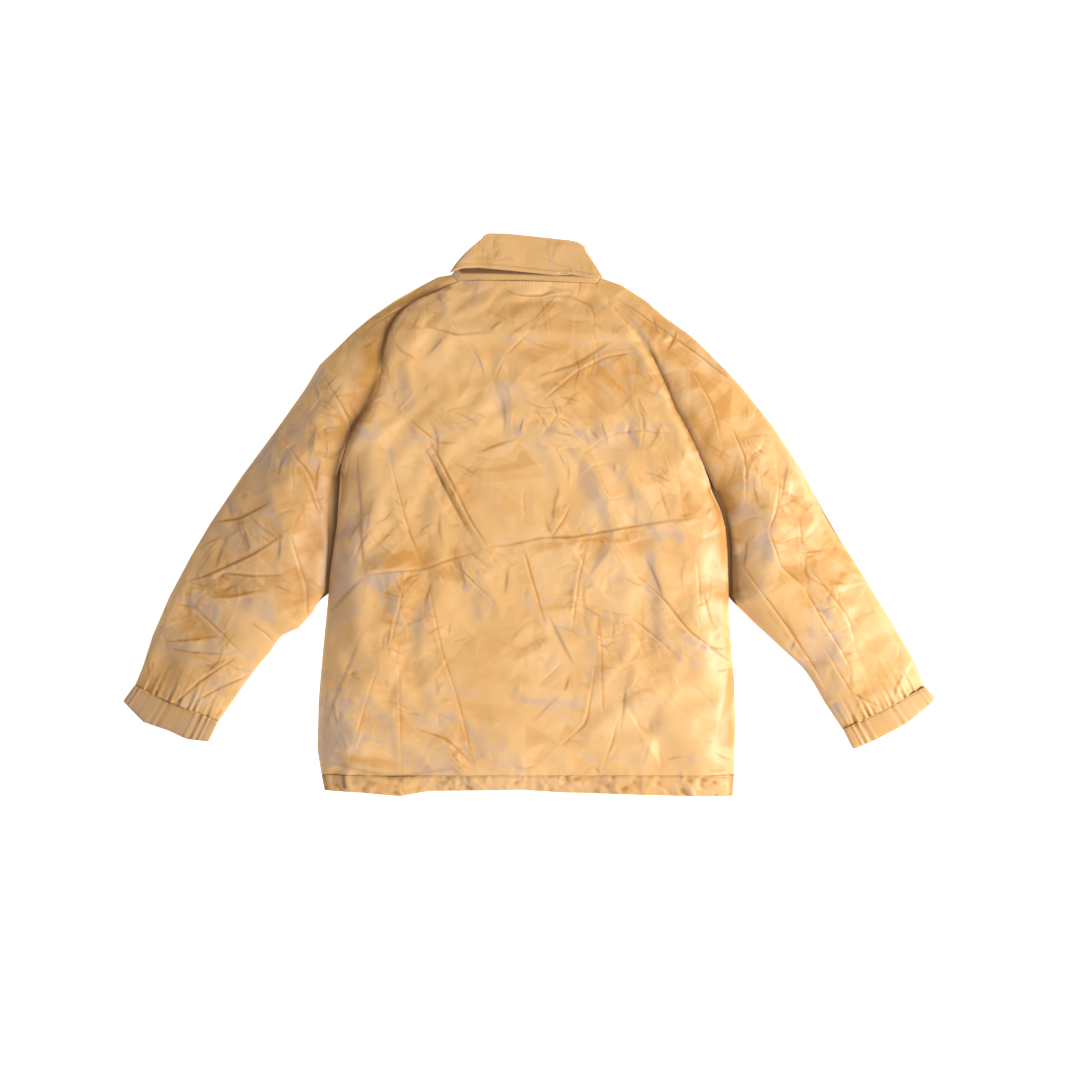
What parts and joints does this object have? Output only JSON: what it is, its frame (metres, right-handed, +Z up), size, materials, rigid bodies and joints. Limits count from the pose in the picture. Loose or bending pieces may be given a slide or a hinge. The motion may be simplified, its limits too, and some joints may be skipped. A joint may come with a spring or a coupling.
{
  "type": "jacket",
  "caption": "Light nylon snap-front jacket lying face down, with a turned-down collar, raglan sleeves, elasticated cuffs and a cased hem.",
  "frame": {"origin": "under the middle of the outline, on the plane that the jacket lies on", "axes": "+Z up out of the plane; +Y from the hem to the collar; +X across the back to the wearer's right sleeve"},
  "size_m": [1.1768, 0.8172, 0.027],
  "materials": {
    "shell": "woven nylon with a satin sheen",
    "lining": "plain lining cloth",
    "interlining": "matt",
    "elastic": "woven elastic",
    "label": "woven, blank",
    "snap_metal": "polished"
  },
  "bodies": {
    "back": {"back_panel": "shell", "back_lining": "lining", "neck_facing": "shell", "neck_label": "label", "collar_stand": "shell", "back_hem_casing": "shell", "left_shoulder_back": "shell", "left_shoulder_front": "shell", "left_front_side": "shell", "left_side_hem_casing": "shell", "right_shoulder_back": "shell", "right_shoulder_front": "shell", "right_front_side": "shell", "right_side_hem_casing": "shell"},
    "collar": {"undercollar": "shell", "collar_interlining": "interlining", "collar_leaf": "shell"},
    "hanger_loop": {"hanger_loop": "shell"},
    "left_sleeve": {"left_sleeve_back": "shell", "left_sleeve_front": "shell", "left_sleeve_lining": "lining", "left_cuff_casing": "shell", "left_cuff_elastic": "elastic"},
    "right_sleeve": {"right_sleeve_back": "shell", "right_sleeve_front": "shell", "right_sleeve_lining": "lining", "right_cuff_casing": "shell", "right_cuff_elastic": "elastic"},
    "left_front": {"left_front_panel": "shell", "left_front_lining": "lining", "left_placket": "shell", "left_front_hem_casing": "shell", "left_hem_eyelet": "snap_metal", "left_front_stand": "shell", "left_collar_point": "shell", "left_pocket_welt": "shell", "left_pocket_bag": "lining", "snap_button_1": "snap_metal", "snap_button_2": "snap_metal", "snap_button_3": "snap_metal", "snap_button_4": "snap_metal", "snap_button_5": "snap_metal"},
    "right_front": {"right_front_panel": "shell", "right_front_lining": "lining", "right_placket": "shell", "right_front_hem_casing": "shell", "right_hem_eyelet": "snap_metal", "right_front_stand": "shell", "right_collar_point": "shell", "right_pocket_welt": "shell", "right_pocket_bag": "lining", "snap_stud_1": "snap_metal", "snap_stud_2": "snap_metal", "snap_stud_3": "snap_metal", "snap_stud_4": "snap_metal", "snap_stud_5": "snap_metal"}
  },
  "joints": [
    {"name": "collar_turn", "type": "hinge", "parent": "back", "child": "collar", "pos_m": [0.007, 0.4015, 0.0146], "axis": [-0.9949, 0.1008, 0], "range_deg": [0, 165]},
    {"name": "hanger_loop_swing", "type": "hinge", "parent": "back", "child": "hanger_loop", "pos_m": [0, 0.334, 0.0102], "axis": [1, 0, 0], "range_deg": [0, 15]},
    {"name": "left_sleeve_fold", "type": "hinge", "parent": "back", "child": "left_sleeve", "pos_m": [-0.31, 0, 0.029], "axis": [0, 1, 0], "range_deg": [0, 175]},
    {"name": "right_sleeve_fold", "type": "hinge", "parent": "back", "child": "right_sleeve", "pos_m": [0.31, 0, 0.029], "axis": [0, -1, 0], "range_deg": [0, 175]},
    {"name": "left_front_open", "type": "hinge", "parent": "back", "child": "left_front", "pos_m": [-0.186, -0.0283, 0], "axis": [0.2206, 0.9754, 0], "range_deg": [0, 170]},
    {"name": "right_front_open", "type": "hinge", "parent": "back", "child": "right_front", "pos_m": [0.186, -0.0283, 0], "axis": [-0.2206, 0.9754, 0], "range_deg": [-150, 0]}
  ],
  "couplings": [
    {"joint": "right_front_open", "follows": "left_front_open", "ratio": -0.85}
  ]
}
